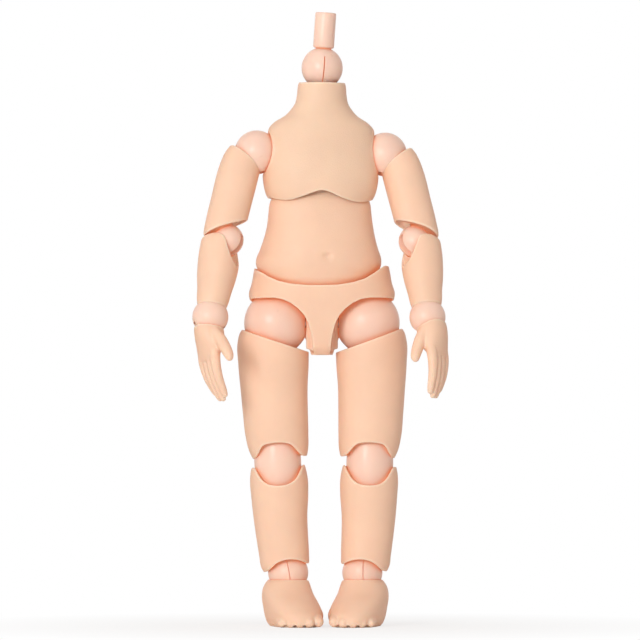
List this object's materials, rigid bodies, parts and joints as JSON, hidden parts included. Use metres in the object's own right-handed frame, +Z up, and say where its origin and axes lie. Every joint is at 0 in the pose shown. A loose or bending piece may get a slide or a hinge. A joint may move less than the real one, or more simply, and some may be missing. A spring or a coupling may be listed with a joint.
{
  "type": "ball jointed doll",
  "caption": "Headless posable doll body: a plain shell torso, arms and legs joined by slotted balls on pins, with a neck peg for a head.",
  "frame": {"origin": "on the floor, midway in width and depth", "axes": "+Z up, the doll faces -Y, its own left is +X"},
  "size_m": [0.0438, 0.023, 0.1052],
  "materials": {
    "shell": "matte moulded skin tone",
    "joint": "smooth, slightly glossier",
    "pin": "plain"
  },
  "bodies": {
    "pelvis": {"pelvis_front": "shell", "pelvis_back": "shell", "hip_axle": "pin"},
    "waist_post": {"waist_post": "joint"},
    "belly": {"abdomen": "shell", "waist_pin": "pin"},
    "spine_ball": {"spine_ball": "joint", "spine_pin": "pin"},
    "spine_post": {"spine_post": "joint"},
    "chest": {"chest_front": "shell", "chest_back": "shell"},
    "neck_post": {"neck_post": "joint"},
    "neck_ball": {"neck_ball": "joint", "neck_pin": "pin"},
    "neck_peg": {"neck_peg": "joint"},
    "left_shoulder_ball": {"left_shoulder_ball": "joint", "left_shoulder_pin": "pin"},
    "left_shoulder_hinge": {"left_shoulder_hinge": "joint"},
    "left_upper_arm": {"left_upper_arm": "shell"},
    "left_elbow_ball": {"left_elbow_ball": "joint", "left_elbow_pin": "pin"},
    "left_forearm": {"left_forearm": "shell"},
    "left_wrist_ball": {"left_wrist_ball": "joint", "left_wrist_pin": "pin"},
    "left_hand": {"left_hand": "shell"},
    "left_hip_ball": {"left_hip_ball": "joint", "left_hip_pin": "pin"},
    "left_hip_hinge": {"left_hip_hinge": "joint"},
    "left_thigh": {"left_thigh": "shell"},
    "left_knee_block": {"left_knee_block": "joint", "left_knee_upper_pin": "pin", "left_knee_lower_pin": "pin"},
    "left_shin": {"left_shin": "shell"},
    "left_ankle_post": {"left_ankle_post": "joint"},
    "left_ankle_ball": {"left_ankle_ball": "joint", "left_ankle_pin": "pin"},
    "left_foot": {"left_foot": "shell"},
    "right_shoulder_ball": {"right_shoulder_ball": "joint", "right_shoulder_pin": "pin"},
    "right_shoulder_hinge": {"right_shoulder_hinge": "joint"},
    "right_upper_arm": {"right_upper_arm": "shell"},
    "right_elbow_ball": {"right_elbow_ball": "joint", "right_elbow_pin": "pin"},
    "right_forearm": {"right_forearm": "shell"},
    "right_wrist_ball": {"right_wrist_ball": "joint", "right_wrist_pin": "pin"},
    "right_hand": {"right_hand": "shell"},
    "right_hip_ball": {"right_hip_ball": "joint", "right_hip_pin": "pin"},
    "right_hip_hinge": {"right_hip_hinge": "joint"},
    "right_thigh": {"right_thigh": "shell"},
    "right_knee_block": {"right_knee_block": "joint", "right_knee_upper_pin": "pin", "right_knee_lower_pin": "pin"},
    "right_shin": {"right_shin": "shell"},
    "right_ankle_post": {"right_ankle_post": "joint"},
    "right_ankle_ball": {"right_ankle_ball": "joint", "right_ankle_pin": "pin"},
    "right_foot": {"right_foot": "shell"}
  },
  "joints": [
    {"name": "waist_turn", "type": "hinge", "parent": "pelvis", "child": "waist_post", "pos_m": [-0.00012, 0.00368, 0.06132], "axis": [-0.0025, 0, 1], "range_deg": [-5, 5]},
    {"name": "waist_bend", "type": "hinge", "parent": "waist_post", "child": "belly", "pos_m": [-0.00012, 0.00368, 0.06132], "axis": [0.9925, 0.1219, 0.0025], "range_deg": [-5, 6]},
    {"name": "chest_bend", "type": "hinge", "parent": "belly", "child": "spine_ball", "pos_m": [-0.00014, 0.00368, 0.06952], "axis": [0.9925, 0.1219, 0.0025], "range_deg": [-5, 8]},
    {"name": "chest_lean", "type": "hinge", "parent": "spine_ball", "child": "spine_post", "pos_m": [-0.00014, 0.00368, 0.06952], "axis": [-0.1219, 0.9925, -0.0003], "range_deg": [-5, 5]},
    {"name": "chest_turn", "type": "hinge", "parent": "spine_post", "child": "chest", "pos_m": [-0.00014, 0.00368, 0.06952], "axis": [0.0148, 0.0021, 0.9999], "range_deg": [-8, 8]},
    {"name": "neck_turn", "type": "hinge", "parent": "chest", "child": "neck_post", "pos_m": [0.00024, 0.00373, 0.09562], "axis": [0.0148, 0.0021, 0.9999], "range_deg": [-75, 75]},
    {"name": "neck_nod", "type": "hinge", "parent": "neck_post", "child": "neck_ball", "pos_m": [0.00024, 0.00373, 0.09562], "axis": [0.9953, 0.0958, -0.0149], "range_deg": [-30, 30]},
    {"name": "neck_lean", "type": "hinge", "parent": "neck_ball", "child": "neck_peg", "pos_m": [0.00024, 0.00373, 0.09562], "axis": [-0.0958, 0.9954, -0.0007], "range_deg": [-11, 5]},
    {"name": "left_shoulder_swing", "type": "hinge", "parent": "chest", "child": "left_shoulder_ball", "pos_m": [0.01104, 0.00476, 0.0808], "axis": [0.9953, 0.0958, -0.0149], "range_deg": [-150, 15]},
    {"name": "left_shoulder_raise", "type": "hinge", "parent": "left_shoulder_ball", "child": "left_shoulder_hinge", "pos_m": [0.01104, 0.00476, 0.0808], "axis": [0.0957, -0.946, 0.3096], "range_deg": [-2, 70]},
    {"name": "left_arm_turn", "type": "hinge", "parent": "left_shoulder_hinge", "child": "left_upper_arm", "pos_m": [0.01104, 0.00476, 0.0808], "axis": [-0.2391, 0.2801, 0.9297], "range_deg": [-30, 30]},
    {"name": "left_elbow_turn", "type": "hinge", "parent": "left_upper_arm", "child": "left_elbow_ball", "pos_m": [0.01605, 0.00038, 0.06588], "axis": [-0.2391, 0.2801, 0.9297], "range_deg": [-20, 40]},
    {"name": "left_elbow_bend", "type": "hinge", "parent": "left_elbow_ball", "child": "left_forearm", "pos_m": [0.01605, 0.00038, 0.06588], "axis": [-0.4204, 0.8332, -0.3592], "range_deg": [0, 80]},
    {"name": "left_wrist_turn", "type": "hinge", "parent": "left_forearm", "child": "left_wrist_ball", "pos_m": [0.0182, -0.00413, 0.0529], "axis": [-0.0724, 0.3638, 0.9287], "range_deg": [-60, 60]},
    {"name": "left_wrist_bend", "type": "hinge", "parent": "left_wrist_ball", "child": "left_hand", "pos_m": [0.0182, -0.00413, 0.0529], "axis": [0.4226, 0.8546, -0.3018], "range_deg": [-30, 0]},
    {"name": "left_hip_swing", "type": "hinge", "parent": "pelvis", "child": "left_hip_ball", "pos_m": [0.00803, 0.00368, 0.05194], "axis": [1, 0, 0.0025], "range_deg": [-62, 25]},
    {"name": "left_hip_spread", "type": "hinge", "parent": "left_hip_ball", "child": "left_hip_hinge", "pos_m": [0.00803, 0.00368, 0.05194], "axis": [0, 1, 0], "range_deg": [-30, 0]},
    {"name": "left_thigh_turn", "type": "hinge", "parent": "left_hip_hinge", "child": "left_thigh", "pos_m": [0.00803, 0.00368, 0.05194], "axis": [-0.0209, 0, -0.9998], "range_deg": [-40, 0]},
    {"name": "left_knee_upper_bend", "type": "hinge", "parent": "left_thigh", "child": "left_knee_block", "pos_m": [0.00846, 0.00368, 0.03033], "axis": [0.9998, 0, -0.0209], "range_deg": [0, 50]},
    {"name": "left_knee_lower_bend", "type": "hinge", "parent": "left_knee_block", "child": "left_shin", "pos_m": [0.00836, 0.00368, 0.02573], "axis": [0.9998, 0, -0.0209], "range_deg": [0, 50]},
    {"name": "left_ankle_turn", "type": "hinge", "parent": "left_shin", "child": "left_ankle_post", "pos_m": [0.00713, 0.00368, 0.00915], "axis": [0.0209, 0, 0.9998], "range_deg": [0, 40]},
    {"name": "left_ankle_pitch", "type": "hinge", "parent": "left_ankle_post", "child": "left_ankle_ball", "pos_m": [0.00713, 0.00368, 0.00915], "axis": [0.9943, -0.1045, -0.0208], "range_deg": [-20, 20]},
    {"name": "left_ankle_tilt", "type": "hinge", "parent": "left_ankle_ball", "child": "left_foot", "pos_m": [0.00713, 0.00368, 0.00915], "axis": [0.1045, 0.9945, 0], "range_deg": [-12, 1.5]},
    {"name": "right_shoulder_swing", "type": "hinge", "parent": "chest", "child": "right_shoulder_ball", "pos_m": [-0.01099, 0.00264, 0.08113], "axis": [0.9953, 0.0958, -0.0149], "range_deg": [-150, 15]},
    {"name": "right_shoulder_raise", "type": "hinge", "parent": "right_shoulder_ball", "child": "right_shoulder_hinge", "pos_m": [-0.01099, 0.00264, 0.08113], "axis": [-0.0967, 0.9694, -0.2256], "range_deg": [-2, 70]},
    {"name": "right_arm_turn", "type": "hinge", "parent": "right_shoulder_hinge", "child": "right_upper_arm", "pos_m": [-0.01099, 0.00264, 0.08113], "axis": [-0.2338, -0.2425, -0.9416], "range_deg": [-30, 30]},
    {"name": "right_elbow_turn", "type": "hinge", "parent": "right_upper_arm", "child": "right_elbow_ball", "pos_m": [-0.01592, -0.00136, 0.06607], "axis": [-0.2338, -0.2425, -0.9416], "range_deg": [-20, 40]},
    {"name": "right_elbow_bend", "type": "hinge", "parent": "right_elbow_ball", "child": "right_forearm", "pos_m": [-0.01592, -0.00136, 0.06607], "axis": [-0.3212, -0.8948, 0.3102], "range_deg": [0, 80]},
    {"name": "right_wrist_turn", "type": "hinge", "parent": "right_forearm", "child": "right_wrist_ball", "pos_m": [-0.01882, -0.00487, 0.05293], "axis": [-0.1235, -0.2851, -0.9505], "range_deg": [-60, 60]},
    {"name": "right_wrist_bend", "type": "hinge", "parent": "right_wrist_ball", "child": "right_hand", "pos_m": [-0.01882, -0.00487, 0.05293], "axis": [0.1057, -0.9562, 0.2731], "range_deg": [-30, 0]},
    {"name": "right_hip_swing", "type": "hinge", "parent": "pelvis", "child": "right_hip_ball", "pos_m": [-0.00763, 0.00368, 0.0519], "axis": [1, 0, 0.0025], "range_deg": [-62, 25]},
    {"name": "right_hip_spread", "type": "hinge", "parent": "right_hip_ball", "child": "right_hip_hinge", "pos_m": [-0.00763, 0.00368, 0.0519], "axis": [0, -1, 0], "range_deg": [-30, 0]},
    {"name": "right_thigh_turn", "type": "hinge", "parent": "right_hip_hinge", "child": "right_thigh", "pos_m": [-0.00763, 0.00368, 0.0519], "axis": [-0.048, 0, 0.9988], "range_deg": [-40, 0]},
    {"name": "right_knee_upper_bend", "type": "hinge", "parent": "right_thigh", "child": "right_knee_block", "pos_m": [-0.00747, 0.00368, 0.03028], "axis": [0.9988, 0, 0.048], "range_deg": [0, 50]},
    {"name": "right_knee_lower_bend", "type": "hinge", "parent": "right_knee_block", "child": "right_shin", "pos_m": [-0.00725, 0.00368, 0.02569], "axis": [0.9988, 0, 0.048], "range_deg": [0, 50]},
    {"name": "right_ankle_turn", "type": "hinge", "parent": "right_shin", "child": "right_ankle_post", "pos_m": [-0.00558, 0.00368, 0.00915], "axis": [0.048, 0, -0.9988], "range_deg": [0, 40]},
    {"name": "right_ankle_pitch", "type": "hinge", "parent": "right_ankle_post", "child": "right_ankle_ball", "pos_m": [-0.00558, 0.00368, 0.00915], "axis": [0.9891, 0.1392, 0.0475], "range_deg": [-20, 20]},
    {"name": "right_ankle_tilt", "type": "hinge", "parent": "right_ankle_ball", "child": "right_foot", "pos_m": [-0.00558, 0.00368, 0.00915], "axis": [0.1392, -0.9903, 0], "range_deg": [-12, 1.5]}
  ]
}
